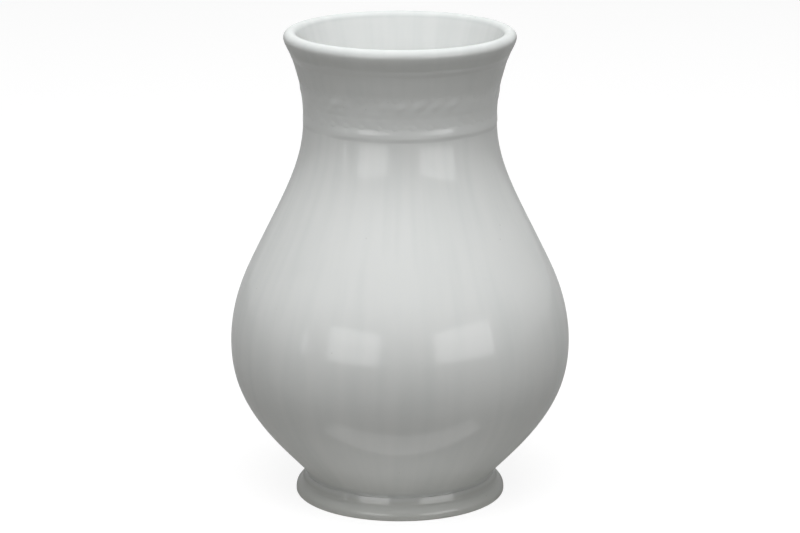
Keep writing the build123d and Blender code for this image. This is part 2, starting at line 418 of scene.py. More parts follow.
def sampled(start, start_run, end, end_run, shares, count):
    """Points of a curve from start to end; a run is radius per unit of height."""
    span = end[1] - start[1]
    first, last = shares[0] * span, shares[1] * span
    near_start = (start[0] + start_run * first, start[1] + first)
    near_end = (end[0] - end_run * last, end[1] - last)
    return curve_points((start, near_start, near_end, end), count)


def arc_points(centre, radius, start, end, count):
    """Points of an arc about centre, from one angle to another."""
    turns = [start + (end - start) * place / (count - 1) for place in range(count)]
    return [(centre[0] + radius * math.cos(t), centre[1] + radius * math.sin(t)) for t in turns]


def divided(start, end, count):
    """Evenly spaced points from start to end."""
    shares = [place / (count - 1) for place in range(count)]
    return [(start[0] + (end[0] - start[0]) * s, start[1] + (end[1] - start[1]) * s)
            for s in shares]


def joined(*runs):
    """One list of the runs' points, in which no point follows itself."""
    points = []
    for run in runs:
        for point in run:
            if not points or math.dist(point, points[-1]) > POINT_GAP:
                points.append(point)
    return points


def inset(point, run, depth):
    """The point that lies depth inside the wall, square to an outline with this run."""
    length = math.hypot(1, run)
    return (point[0] - depth / length, point[1] + depth * run / length)


def wall_side(cone_top, belly, swell, waist, lip, counts):
    """The four curves of one side of the wall, from the top of the cone to the lip."""
    return (
        sampled(cone_top, CONE_RUN, belly, 0, LOWER_BELLY_HANDLES, counts[0]),
        sampled(belly, 0, swell, SWELL_RUN, UPPER_BELLY_HANDLES, counts[1]),
        sampled(swell, SWELL_RUN, waist, 0, SHOULDER_HANDLES, counts[2]),
        sampled(waist, 0, lip, LIP_RUN, FLARE_HANDLES, counts[3]),
    )


def bump_height(reach, width, rise):
    """Height of a soft round bump at a distance from its middle."""
    share = min(abs(reach) / width, 1)
    return rise * (1 - share * share) ** 2


def cove_depth(height):
    """Depth of the slight hollow under the lip at this height."""
    above = height > COVE_HEIGHT
    return bump_height(height - COVE_HEIGHT, COVE_ABOVE if above else COVE_BELOW, COVE_DEPTH)


LIP_RUN = math.tan(LIP_ANGLE)
LIP_REACH = LIP_BEAD * math.cos(LIP_ANGLE)
LIP_DIP = LIP_BEAD * math.sin(LIP_ANGLE)
LIP_OUTSIDE = (LIP_CENTRE[0] + LIP_REACH, LIP_CENTRE[1] - LIP_DIP)
LIP_INSIDE = (LIP_CENTRE[0] - LIP_REACH, LIP_CENTRE[1] + LIP_DIP)
OUTSIDE = [
    (radius - cove_depth(height), height)
    for radius, height in joined(
        divided(BASE_CORNER, CONE_TOP, CONE_POINTS),
        *wall_side(CONE_TOP, BELLY, SWELL, WAIST, LIP_OUTSIDE, OUTSIDE_POINTS))
]
OUTSIDE_HEIGHTS = [height for _, height in OUTSIDE]


def outer_radius(height):
    """Radius of the body's outside at this height."""
    place = min(max(bisect_left(OUTSIDE_HEIGHTS, height), 1), len(OUTSIDE) - 1)
    (r0, z0), (r1, z1) = OUTSIDE[place - 1], OUTSIDE[place]
    return r0 + (r1 - r0) * (height - z0) / (z1 - z0)


def eased(value, low, high):
    """0 below low, 1 above high and a smooth step between them."""
    share = min(max((value - low) / (high - low), 0), 1)
    return share * share * (3 - 2 * share)


def spin_outline(points, steps, closed=False):
    """A closed mesh that the outline sweeps in a full turn about the vase's axis."""
    bm = bmesh.new()
    verts = [bm.verts.new((radius, 0, height)) for radius, height in points]
    ends = verts[1:] + verts[:1] if closed else verts[1:]
    for start, end in zip(verts, ends):
        bm.edges.new((start, end))
    sector = math.tau / SECTORS
    bmesh.ops.spin(
        bm, geom=bm.verts[:] + bm.edges[:], cent=(0, 0, 0), axis=(0, 0, 1),
        angle=sector, steps=steps // SECTORS)
    bmesh.ops.spin(
        bm, geom=bm.verts[:] + bm.edges[:] + bm.faces[:], cent=(0, 0, 0), axis=(0, 0, 1),
        angle=math.tau - sector, steps=SECTORS - 1, use_duplicate=True)
    bmesh.ops.remove_doubles(bm, verts=bm.verts[:], dist=WELD_GAP)
    bmesh.ops.recalc_face_normals(bm, faces=bm.faces[:])
    return bm


def push_out(vert, distance):
    """Moves a vertex away from the vase's axis."""
    reach = math.hypot(vert.co.x, vert.co.y)
    vert.co.x *= 1 + distance / reach
    vert.co.y *= 1 + distance / reach


def add_piece(name, bm, material, slot, *nodes):
    """A finished piece in the place of its CAD nodes."""
    mesh = bpy.data.meshes.new(name)
    bm.to_mesh(mesh)
    bm.free()
    mesh.shade_smooth()
    mesh.set_sharp_from_angle(angle=SHARP_ANGLE)
    mesh.materials.append(material)
    piece = bpy.data.objects.new(name, mesh)
    bpy.context.collection.objects.link(piece)
    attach(piece, BODY)
    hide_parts(*nodes)
    return piece


def group_socket(group, name, kind, default=None, output=False):
    """Adds one named socket to a node group."""
    side = "OUTPUT" if output else "INPUT"
    socket = group.interface.new_socket(name=name, in_out=side, socket_type=kind)
    if default is not None:
        socket.default_value = default


def add_node(tree, kind, values=None, **settings):
    """A node with its settings and the values of its named or numbered inputs."""
    node = tree.nodes.new(kind)
    for name, value in settings.items():
        setattr(node, name, value)
    for name, value in (values or {}).items():
        node.inputs[name].default_value = value
    return node


def math_node(tree, operation, first, second=None, clamp=False):
    """A Math node; each operand is a socket or a number."""
    node = add_node(tree, "ShaderNodeMath", operation=operation, use_clamp=clamp)
    for place, operand in enumerate((first, second)):
        if isinstance(operand, bpy.types.NodeSocket):
            tree.links.new(operand, node.inputs[place])
        elif operand is not None:
            node.inputs[place].default_value = operand
    return node.outputs[0]


def range_node(tree, value, low, high, to_low=0.0, to_high=1.0):
    """A smooth Map Range from low..high to to_low..to_high."""
    node = add_node(
        tree, "ShaderNodeMapRange", interpolation_type="SMOOTHSTEP",
        values={1: low, 2: high, 3: to_low, 4: to_high})
    tree.links.new(value, node.inputs[0])
    return node.outputs[0]


def noise_node(tree, vector, scale, detail):
    """A Noise Texture's value at the given scale."""
    node = add_node(tree, "ShaderNodeTexNoise", values={"Scale": scale, "Detail": detail})
    tree.links.new(vector, node.inputs["Vector"])
    return node.outputs["Fac"]


def split_node(tree, vector):
    """The outputs X, Y and Z of a vector."""
    node = add_node(tree, "ShaderNodeSeparateXYZ")
    tree.links.new(vector, node.inputs[0])
    return node.outputs


def mix_colour(tree, share, first, second):
    """A Mix node between two colours, each a socket or a colour."""
    node = add_node(tree, "ShaderNodeMix", data_type="RGBA")
    tree.links.new(share, node.inputs["Factor"])
    for socket, colour in zip((node.inputs[6], node.inputs[7]), (first, second)):
        if isinstance(colour, bpy.types.NodeSocket):
            tree.links.new(colour, socket)
        else:
            socket.default_value = (*colour, 1)
    return node.outputs[2]


def mix_value(tree, share, first, second):
    """A Mix node between two values, each a socket or a number."""
    node = add_node(tree, "ShaderNodeMix", data_type="FLOAT")
    tree.links.new(share, node.inputs["Factor"])
    for socket, value in zip((node.inputs[2], node.inputs[3]), (first, second)):
        if isinstance(value, bpy.types.NodeSocket):
            tree.links.new(value, socket)
        else:
            socket.default_value = value
    return node.outputs[0]


def glaze_ripple_group():
    """Fine unevenness of a fired glaze: a slow swell and orange peel."""
    group = bpy.data.node_groups.get("Glaze ripple")
    if group:
        return group
    group = bpy.data.node_groups.new("Glaze ripple", "ShaderNodeTree")
    group_socket(group, "Place", "NodeSocketVector")
    group_socket(group, "Swell", "NodeSocketFloat", 0.7)
    group_socket(group, "Peel", "NodeSocketFloat", 0.2)
    group_socket(group, "Height", "NodeSocketFloat", output=True)
    start = group.nodes.new("NodeGroupInput")
    end = group.nodes.new("NodeGroupOutput")
    swell = noise_node(group, start.outputs["Place"], RIPPLE_SWELL_SCALE, detail=1.0)
    peel = noise_node(group, start.outputs["Place"], RIPPLE_PEEL_SCALE, detail=2.0)
    swell_part = math_node(group, "MULTIPLY", swell, start.outputs["Swell"])
    peel_part = math_node(group, "MULTIPLY", peel, start.outputs["Peel"])
    total = math_node(group, "ADD", swell_part, peel_part)
    group.links.new(total, end.inputs["Height"])
    return group


def kiln_specks(group, place):
    """1 on sparse small specks, and 0 elsewhere."""
    cells = add_node(
        group, "ShaderNodeTexVoronoi", feature="F1",
        values={"Scale": SPECK_SCALE, "Randomness": 1.0})
    group.links.new(place, cells.inputs["Vector"])
    near = range_node(group, cells.outputs["Distance"], *SPECK_SPAN, 1.0, 0.0)
    parts = add_node(group, "ShaderNodeSeparateColor")
    group.links.new(cells.outputs["Color"], parts.inputs[0])
    rare = math_node(group, "GREATER_THAN", parts.outputs[0], SPECK_RARITY)
    return math_node(group, "MULTIPLY", near, rare)


def glaze_colour_group():
    """Porcelain under clear glaze: cloudy tone, the tint of pooled glaze and of painted shade,
    and sparse kiln specks.
    """
    group = bpy.data.node_groups.get("Glaze colour")
    if group:
        return group
    group = bpy.data.node_groups.new("Glaze colour", "ShaderNodeTree")
    group_socket(group, "Place", "NodeSocketVector")
    group_socket(group, "Glaze", "NodeSocketColor", (0.8, 0.8, 0.8, 1))
    group_socket(group, "Pooled or shaded", "NodeSocketColor", (0.7, 0.72, 0.71, 1))
    # This input also carries painted shade: the darkened lip top and foot
    group_socket(group, "Pooling or shade", "NodeSocketFloat", 0.0)
    group_socket(group, "Cloud", "NodeSocketFloat", 0.3)
    group_socket(group, "Specks", "NodeSocketFloat", 0.25)
    group_socket(group, "Colour", "NodeSocketColor", output=True)
    group_socket(group, "Speck mask", "NodeSocketFloat", output=True)
    start = group.nodes.new("NodeGroupInput")
    end = group.nodes.new("NodeGroupOutput")
    place = start.outputs["Place"]
    cloud = range_node(group, noise_node(group, place, CLOUD_SCALE, detail=3.0), *CLOUD_SPAN)
    cloud_part = math_node(group, "MULTIPLY", cloud, start.outputs["Cloud"])
    thick = math_node(group, "ADD", cloud_part, start.outputs["Pooling or shade"], clamp=True)
    tone = mix_colour(group, thick, start.outputs["Glaze"], start.outputs["Pooled or shaded"])
    specks = kiln_specks(group, place)
    speck_part = math_node(group, "MULTIPLY", specks, start.outputs["Specks"])
    speckled = mix_colour(group, speck_part, tone, SPECK_COLOUR)
    group.links.new(speckled, end.inputs["Colour"])
    group.links.new(speck_part, end.inputs["Speck mask"])
    return group


def streak_mask(tree, parts):
    """Uneven upright streaks round the axis, where glaze has run down the flutes."""
    level = add_node(tree, "ShaderNodeCombineXYZ")
    tree.links.new(parts["X"], level.inputs["X"])
    tree.links.new(parts["Y"], level.inputs["Y"])
    around = add_node(tree, "ShaderNodeVectorMath", operation="NORMALIZE")
    tree.links.new(level.outputs[0], around.inputs[0])
    split = split_node(tree, around.outputs[0])
    long = add_node(tree, "ShaderNodeCombineXYZ")
    tree.links.new(split["X"], long.inputs["X"])
    tree.links.new(split["Y"], long.inputs["Y"])
    tree.links.new(math_node(tree, "MULTIPLY", parts["Z"], STREAK_CHANGE), long.inputs["Z"])
    streaks = noise_node(tree, long.outputs[0], STREAK_SCALE, detail=1.5)
    return math_node(tree, "SUBTRACT", streaks, 0.5)


def thick_glaze_or_shade(tree, parts, pooling, streaks, rim):
    """How thick the glaze lies low down and in streaks, with the painted shade of the rim and the
    foot.
    """
    low, high, amount = pooling
    thick = range_node(tree, parts["Z"], low, high, amount, 0.0)
    if streaks:
        streaked = math_node(tree, "MULTIPLY", streak_mask(tree, parts), streaks)
        thick = math_node(tree, "ADD", thick, streaked)
    # Painted shade: the lip's top is darkened like thick glaze
    if rim:
        low, high, amount = rim
        rim_shade = range_node(tree, parts["Z"], low, high, 0.0, amount)
        thick = math_node(tree, "ADD", thick, rim_shade)
    return thick


def ripple_normal(tree, place, swell, peel):
    """The normal that the glaze's ripple gives the surface."""
    ripple = add_node(
        tree, "ShaderNodeGroup", node_tree=glaze_ripple_group(),
        values={"Swell": swell, "Peel": peel})
    tree.links.new(place, ripple.inputs["Place"])
    bump = add_node(
        tree, "ShaderNodeBump", values={"Strength": 1.0, "Distance": RIPPLE_DEPTH})
    tree.links.new(ripple.outputs["Height"], bump.inputs["Height"])
    return bump.outputs["Normal"]


def bare_mask(tree, place, height, bare_below):
    """1 on bare porcelain below a height, with the ragged edge of wiped glaze, and 0 above."""
    edge_noise = noise_node(tree, place, BARE_EDGE_SCALE, detail=2.0)
    edge = math_node(tree, "MULTIPLY", edge_noise, BARE_EDGE_WANDER)
    ragged = math_node(tree, "ADD", height, edge)
    return range_node(tree, ragged, bare_below, bare_below + BARE_EDGE_FADE, 1.0, 0.0)


def biscuit_tone(tree, place):
    """The fine grain of bare porcelain."""
    biscuit = bpy.context.scene.vase_finish.biscuit_colour
    grain = noise_node(tree, place, GRAIN_SCALE, detail=3.0)
    return mix_colour(tree, grain, [GRAIN_SHADE * part for part in biscuit], biscuit)


def glazed_porcelain(name, pooling, swell=0.5, peel=0.05, specks=0.3, streaks=0.0, rim=None,
                     bare_below=None, shade=(1.0, 1.0, 1.0), shine=1.0):
    """Glazed porcelain, darker below the two heights of pooling and above those of rim.

    The third value of each is how far it darkens there: thick glaze low down, and painted shade
    on the lip's top and the foot. shade darkens the foot's tint further as painted shade, and
    shine is the gloss as a share of the finish's own.
    """
    finish = bpy.context.scene.vase_finish
    gloss = min(finish.gloss * shine, 1)
    # The tint of thick glaze; shade darkens it further as the foot's painted shade
    pooled = [share * part for share, part in zip(shade, finish.pooled_or_shaded_colour)]
    material = bpy.data.materials.new(name)
    material.use_nodes = True
    tree = material.node_tree
    surface = next(node for node in tree.nodes if node.type == "BSDF_PRINCIPLED").inputs
    surface["Specular IOR Level"].default_value = 0.0
    surface["IOR"].default_value = GLAZE_IOR
    surface["Coat IOR"].default_value = GLAZE_IOR
    surface["Coat Roughness"].default_value = finish.gloss_roughness
    surface["Coat Weight"].default_value = gloss

    place = add_node(tree, "ShaderNodeTexCoord").outputs["Object"]
    parts = split_node(tree, place)
    colour = add_node(
        tree, "ShaderNodeGroup", node_tree=glaze_colour_group(),
        values={"Glaze": (*finish.glaze_colour, 1), "Pooled or shaded": (*pooled, 1), "Specks": specks})
    tree.links.new(place, colour.inputs["Place"])
    tree.links.new(thick_glaze_or_shade(tree, parts, pooling, streaks, rim), colour.inputs["Pooling or shade"])
    tone = colour.outputs["Colour"]
    roughness = range_node(
        tree, colour.outputs["Speck mask"], 0.0, 1.0, GLAZE_ROUGHNESS, SPECK_ROUGHNESS)
    if bare_below is not None:
        bare = bare_mask(tree, place, parts["Z"], bare_below)
        tone = mix_colour(tree, bare, tone, biscuit_tone(tree, place))
        roughness = range_node(tree, bare, 0.0, 1.0, GLAZE_ROUGHNESS, BISCUIT_ROUGHNESS)
        tree.links.new(range_node(tree, bare, 0.0, 1.0, gloss, 0.0), surface["Coat Weight"])
    tree.links.new(tone, surface["Base Color"])
    tree.links.new(roughness, surface["Roughness"])
    tree.links.new(ripple_normal(tree, place, swell, peel), surface["Normal"])
    return material


def inner_floor_curve(cone_top):
    """The curve inside the vase from the cone down to the flat floor."""
    out = INNER_FLOOR_HANDLES[0] * (cone_top[0] - FLOOR_FLAT)
    rise = INNER_FLOOR_HANDLES[1] * (cone_top[1] - FLOOR_HEIGHT)
    knots = (
        cone_top,
        (cone_top[0] - CONE_RUN * rise, cone_top[1] - rise),
        (FLOOR_FLAT + out, FLOOR_HEIGHT),
        (FLOOR_FLAT, FLOOR_HEIGHT),
    )
    return curve_points(knots, INNER_CURVE_POINTS)


def body_outline():
    """The whole section of the body, from the axis under the boss to the axis on the floor."""
    boss_height = BASE_CORNER[1] - BOSS_DEPTH
    dome = [
        (BOSS_RADIUS * share, boss_height + BOSS_DOME * (1 - share * share))
        for share in BOSS_SHARES
    ]
    inner_cone = inset(CONE_TOP, CONE_RUN, WALL)
    inside = joined(*wall_side(
        inner_cone, inset(BELLY, 0, WALL), inset(SWELL, SWELL_RUN, WALL), inset(WAIST, 0, WALL),
        LIP_INSIDE, INSIDE_POINTS))
    return joined(
        dome,
        [(BOSS_RADIUS, BASE_CORNER[1])],
        OUTSIDE,
        arc_points(LIP_CENTRE, LIP_BEAD, -LIP_ANGLE, math.pi - LIP_ANGLE, LIP_POINTS),
        inside[::-1],
        inner_floor_curve(inner_cone),
        divided((FLOOR_FLAT, FLOOR_HEIGHT), (0, FLOOR_HEIGHT), INNER_FLAT_POINTS),
    )


def flute_share(angle, height):
    """Depth of the flutes at a place on the body, as a share of the full depth."""
    turns = angle / math.tau * bpy.context.scene.vase_sizes.flute_count
    across = math.cos(turns * math.tau)
    beat = 1 + FLUTE_BEAT * math.cos(turns * math.pi)
    arch = FLUTE_ARCH * (1 - across) / 2
    top = 1 - eased(height + arch, *FLUTE_TOP)
    foot = eased(height, *FLUTE_FOOT)
    return (0.5 + 0.5 * across) * beat * top * foot


class VASE_OT_body(bpy.types.Operator):
    """Adds the cast body with its shallow flutes"""

    bl_idname = "vase.body"
    bl_label = "Body"

    def execute(self, context):
        sizes = context.scene.vase_sizes
        bm = spin_outline(body_outline(), sizes.body_steps)
        for vert in bm.verts:
            height = vert.co.z
            reach = math.hypot(vert.co.x, vert.co.y)
            if height < CONE_TOP[1] or reach < outer_radius(height) - WALL / 2:
                continue
            angle = math.atan2(vert.co.y, vert.co.x)
            depth = sizes.flute_depth * reach / BELLY[0]
            push_out(vert, -depth * flute_share(angle, height))
        # The rim band is painted shade on the lip's top
        glaze = glazed_porcelain(
            "Body glaze with painted rim shade", BODY_POOLING, rim=RIM_PAINTED_SHADE, streaks=BODY_STREAKS)
        add_piece("vase_body_glazed", bm, glaze, "body_glaze", "vase_body")
        return {"FINISHED"}


def foot_outline():
    """The closed section of the foot ring, hollow underneath."""
    collar_top = FOOT_HEIGHT - COLLAR_ROUND
    collar_base = (COLLAR_RADIUS + COLLAR_LEAN, collar_top - COLLAR_HEIGHT)
    skirt_top = BASE_CORNER[1] - BOSS_DEPTH
    quarter = [step / SKIRT_STEPS * math.pi / 2 for step in range(SKIRT_STEPS + 1)]
    skirt = [
        (BORE_RADIUS + (SKIRT_RADIUS - BORE_RADIUS) * math.sin(turn),
         skirt_top - (skirt_top - FOOT_EDGE) * (1 - math.cos(turn)))
        for turn in quarter
    ]
    return joined(
        arc_points((FOOT_RADIUS - FOOT_EDGE, FOOT_EDGE), FOOT_EDGE, -math.pi / 2, 0,
                   FOOT_EDGE_POINTS),
        sampled((FOOT_RADIUS, FOOT_SIDE_TOP), 0, FOOT_SHOULDER, FOOT_SHOULDER_RUN,
                FOOT_SIDE_HANDLES, FOOT_SIDE_POINTS),
        sampled(FOOT_SHOULDER, FOOT_SHOULDER_RUN, collar_base, -COLLAR_LEAN / COLLAR_HEIGHT,
                FOOT_SHOULDER_HANDLES, FOOT_SHOULDER_POINTS),
        divided(collar_base, (COLLAR_RADIUS, collar_top), COLLAR_POINTS),
        arc_points((COLLAR_RADIUS - COLLAR_ROUND, collar_top), COLLAR_ROUND, 0, math.pi / 2,
                   COLLAR_ROUND_POINTS),
        [(BORE_RADIUS, FOOT_HEIGHT)],
        skirt,
        [(RING_INNER, 0)],
    )


class VASE_OT_foot(bpy.types.Operator):
    """Adds the foot ring with its bare standing ring"""

    bl_idname = "vase.foot"
    bl_label = "Foot ring"

    def execute(self, context):
        bm = spin_outline(foot_outline(), context.scene.vase_sizes.ring_steps, closed=True)
        # The foot's darker thick-glaze tint is painted shade, for the belly's shadow over the
        # foot
        glaze = glazed_porcelain(
            "Foot glaze with painted shade", FOOT_PAINTED_SHADE, bare_below=BARE_HEIGHT, shade=FOOT_PAINTED_SHADE_TINT,
            shine=FOOT_SHINE)
        add_piece("foot_ring_glazed", bm, glaze, "foot_glaze", "foot_ring")
        return {"FINISHED"}


def seam_outline():
    """The closed section of the slip, hollow outside, with a lap into foot and body."""
    bottom = (COLLAR_RADIUS - COLLAR_ROUND, FOOT_HEIGHT)
    top = (BASE_CORNER[0] + CONE_RUN * SEAM_TOP_RISE, BASE_CORNER[1] + SEAM_TOP_RISE)
    hollow = [
        (bottom[0] + (top[0] - bottom[0]) * share - SEAM_HOLLOW * 4 * share * (1 - share),
         bottom[1] + (top[1] - bottom[1]) * share)
        for share in [step / SEAM_STEPS for step in range(SEAM_STEPS + 1)]
    ]
    return hollow + [
        (BASE_CORNER[0], BASE_CORNER[1] + SEAM_BITE),
        (BOSS_RADIUS + SEAM_PLAY, BASE_CORNER[1]),
        (BORE_RADIUS, FOOT_HEIGHT - SEAM_PLAY),
    ]


class VASE_OT_seam(bpy.types.Operator):
    """Adds the ring of slip and pooled glaze between foot and body"""

    bl_idname = "vase.seam"
    bl_label = "Luting seam"

    def execute(self, context):
        bm = spin_outline(seam_outline(), context.scene.vase_sizes.ring_steps, closed=True)
        glaze = glazed_porcelain("Seam glaze", SEAM_POOLING)
        add_piece("luting_seam_glazed", bm, glaze, "seam_glaze", "luting_seam")
        return {"FINISHED"}


def relief_glaze():
    """The glaze that all pressed relief shares."""
    found = bpy.data.materials.get("Relief glaze")
    return found or glazed_porcelain(
        "Relief glaze", RELIEF_POOLING, swell=RELIEF_SWELL, specks=RELIEF_SPECKS,
        shine=RELIEF_SHINE)


def strip_outline(height, width, rise, crest):
    """The closed section of a soft strip that stands out most at its crest."""
    outline = []
    for place in range(STRIP_STEPS + 1):
        share = place / STRIP_STEPS * 2 - 1
        level = height + share * width / 2
        reach = 1 - crest if share > crest else 1 + crest
        proud = bump_height(share - crest, reach, rise) - SINK
        outline.append((outer_radius(level) + proud, level))
    back = outer_radius(height) - WALL / 2
    return outline + [(back, height + width / 2), (back, height - width / 2)]


def strip_mesh(height, width, rise, crest, wander, fade=0.0):
    """A soft, uneven strip round the neck, which sinks by the share fade on the left."""
    outline = strip_outline(height, width, rise, crest)
    bm = spin_outline(outline, bpy.context.scene.vase_sizes.ring_steps, closed=True)
    for vert in bm.verts:
        angle = math.atan2(vert.co.y, vert.co.x)
        around = Vector((math.cos(angle), math.sin(angle), height * STRIP_SHIFT))
        proud = math.hypot(vert.co.x, vert.co.y) - outer_radius(vert.co.z)
        if proud > 0:
            swell = STRIP_UNEVENNESS * noise.noise(around * UNEVENNESS_SCALE)
            swell -= fade * eased(-math.cos(angle), *FADE_SPAN)
            push_out(vert, proud * swell)
        vert.co.z += wander * noise.noise(around * WANDER_SCALE + WANDER_SHIFT)
    return bm


class VASE_OT_border_strips(bpy.types.Operator):
    """Adds the strips above and below the garland"""

    bl_idname = "vase.border_strips"
    bl_label = "Border strips"

    def execute(self, context):
        sizes = context.scene.vase_sizes
        lower = strip_mesh(
            LOWER_STRIP_HEIGHT, sizes.lower_strip_width, sizes.lower_strip_rise,
            LOWER_STRIP_CREST, LOWER_STRIP_WANDER, sizes.lower_strip_fade)
        add_piece(
            "lower_strip_glazed", lower, relief_glaze(), "relief_glaze", "lower_border_strip")
        upper = strip_mesh(
            UPPER_STRIP_HEIGHT, sizes.upper_strip_width, sizes.upper_strip_rise,
            UPPER_STRIP_CREST, UPPER_STRIP_WANDER)
        add_piece(
            "upper_strip_glazed", upper, relief_glaze(), "relief_glaze", "upper_border_strip")
        return {"FINISHED"}


def leaf_height(across, up, centre, side):
    """Height of one melted leaf at a place on the sprig, as a share of its rise."""
    spread = bpy.context.scene.vase_sizes.leaf_spread
    slant = LEAF_SLANT * side
    east, north = across - centre, up - side * LEAF_OFFSET
    along = east * math.cos(slant) + north * math.sin(slant)
    aside = -east * math.sin(slant) + north * math.cos(slant)
    lengthwise = along / (LEAF_LENGTH * spread * LEAF_TIP_SHARE)
    sideways = aside / (LEAF_WIDTH * spread)
    return math.exp(-lengthwise * lengthwise - sideways * sideways)


def sprig_height(across, up):
    """Height of the sprig at a place; the neighbours' end leaves melt into it."""
    sizes = bpy.context.scene.vase_sizes
    total = bump_height(up, STEM_WIDTH, sizes.stem_rise)
    for place in range(-1, LEAF_PAIRS + 1):
        centre = (place - (LEAF_PAIRS - 1) / 2) * LEAF_PITCH * WAIST[0]
        for side in (1, -1):
            share = 1 if side > 0 else sizes.lower_leaves
            total += share * sizes.leaf_rise * leaf_height(across, up, centre, side)
    return total


def worn_share(angle, up):
    """Share of the garland's rise that the glaze has left showing at a place."""
    sizes = bpy.context.scene.vase_sizes
    spot = Vector((math.cos(angle), math.sin(angle), up / WAIST[0]))
    worn = WORN_SHARE + sizes.leaf_wear * noise.noise(spot * WEAR_SCALE)
    worn += FINE_WEAR * noise.noise(spot * FINE_WEAR_SCALE)
    return max(worn, 0)


def wrap_on_neck(bm, angle, height):
    """Lays a flat relief on the neck: X runs round it, Y up it and Z out of it."""
    for vert in bm.verts:
        across, up, out = vert.co
        level = height + up
        neck = outer_radius(level)
        turn = angle + across / WAIST[0]
        vert.co = ((neck + out) * math.cos(turn), (neck + out) * math.sin(turn), level)


def sprig_mesh(turn):
    """One pressed sprig, melted into the glaze, round the neck at this angle."""
    half_width = math.pi / SPRIGS * WAIST[0]
    columns, rows = SPRIG_GRID
    bm = bmesh.new()
    bmesh.ops.create_grid(bm, x_segments=columns, y_segments=rows, size=1)
    bmesh.ops.scale(bm, verts=bm.verts[:], vec=(half_width, SPRIG_HALF_HEIGHT, 1))
    for vert in bm.verts:
        across, up, _ = vert.co
        worn = worn_share(turn + across / WAIST[0], up)
        vert.co.z = worn * sprig_height(across, up) - SINK
    wrap_on_neck(bm, turn, GARLAND_HEIGHT)
    bmesh.ops.recalc_face_normals(bm, faces=bm.faces[:])
    outward = bm.faces[0].normal.dot(bm.faces[0].calc_center_median())
    if outward < 0:
        bmesh.ops.reverse_faces(bm, faces=bm.faces[:])
    bmesh.ops.solidify(bm, geom=bm.faces[:], thickness=SPRIG_THICKNESS)
    return bm


class VASE_OT_garland(bpy.types.Operator):
    """Adds the pressed sprigs, melted into the glaze"""

    bl_idname = "vase.garland"
    bl_label = "Garland"

    def execute(self, context):
        for place in range(SPRIGS):
            sprig = sprig_mesh(place * math.tau / SPRIGS)
            node = f"laurel_sprig_{place + 1:02d}"
            add_piece(f"{node}_glazed", sprig, relief_glaze(), "relief_glaze", node)
        return {"FINISHED"}


def berry_row(height):
    """One row of melted berries round the neck."""
    sizes = bpy.context.scene.vase_sizes
    row = bmesh.new()
    profile = [
        (sizes.berry_radius * share, bump_height(share, 1, sizes.berry_rise) - SINK)
        for share in [ring / BERRY_RINGS for ring in range(BERRY_RINGS + 1)]
    ]
    profile.append((0, -BERRY_ROOT))
    for place in range(SPRIGS * LEAF_PAIRS):
        berry = spin_outline(profile, BERRY_STEPS)
        wrap_on_neck(berry, (place + BERRY_PLACE) * LEAF_PITCH, height)
        mesh = bpy.data.meshes.new("berry")
        berry.to_mesh(mesh)
        berry.free()
        row.from_mesh(mesh)
        bpy.data.meshes.remove(mesh)
    bmesh.ops.recalc_face_normals(row, faces=row.faces[:])
    return row


class VASE_OT_berries(bpy.types.Operator):
    """Adds the two rows of berries between the leaf tips"""

    bl_idname = "vase.berries"
    bl_label = "Berries"

    def execute(self, context):
        for node, side in (("upper_berries", 1), ("lower_berries", -1)):
            row = berry_row(GARLAND_HEIGHT + side * BERRY_OFFSET)
            add_piece(f"{node}_glazed", row, relief_glaze(), "relief_glaze", node)
        return {"FINISHED"}


def add_softbox(softbox, radiance):
    """A rectangular light for the surfaces, for what the glaze mirrors, or for both."""
    width, depth = softbox.size
    lamp = bpy.data.lights.new(softbox.name, "AREA")
    lamp.shape = "RECTANGLE"
    lamp.size, lamp.size_y = width, depth
    lamp.energy = radiance * LAMP_POWER * width * depth
    light = bpy.data.objects.new(softbox.name, lamp)
    light.visible_camera = False
    light.visible_glossy = softbox.mirrored
    light.visible_diffuse = softbox.lights
    light.location = softbox.place
    light.rotation_euler = (softbox.tilt, 0, softbox.turn)
    bpy.context.collection.objects.link(light)


def add_window(window, radiance):
    """An upright light on the circle of windows, facing the vase."""
    place = (WINDOW_DISTANCE * math.sin(window.azimuth),
             -WINDOW_DISTANCE * math.cos(window.azimuth), (window.low + window.high) / 2)
    size = (window.width, window.high - window.low)
    upright = Softbox(window.name, "window", place, math.pi / 2, window.azimuth, size,
                      mirrored=True, lights=False)
    add_softbox(upright, radiance * window.share)


def white_ray_mask(tree):
    """1 for the rays that should see the white background, and 0 for diffuse light."""
    path = add_node(tree, "ShaderNodeLightPath")
    seen = math_node(
        tree, "ADD", path.outputs["Is Camera Ray"], path.outputs["Is Glossy Ray"])
    return math_node(tree, "ADD", seen, path.outputs["Is Transmission Ray"], clamp=True)


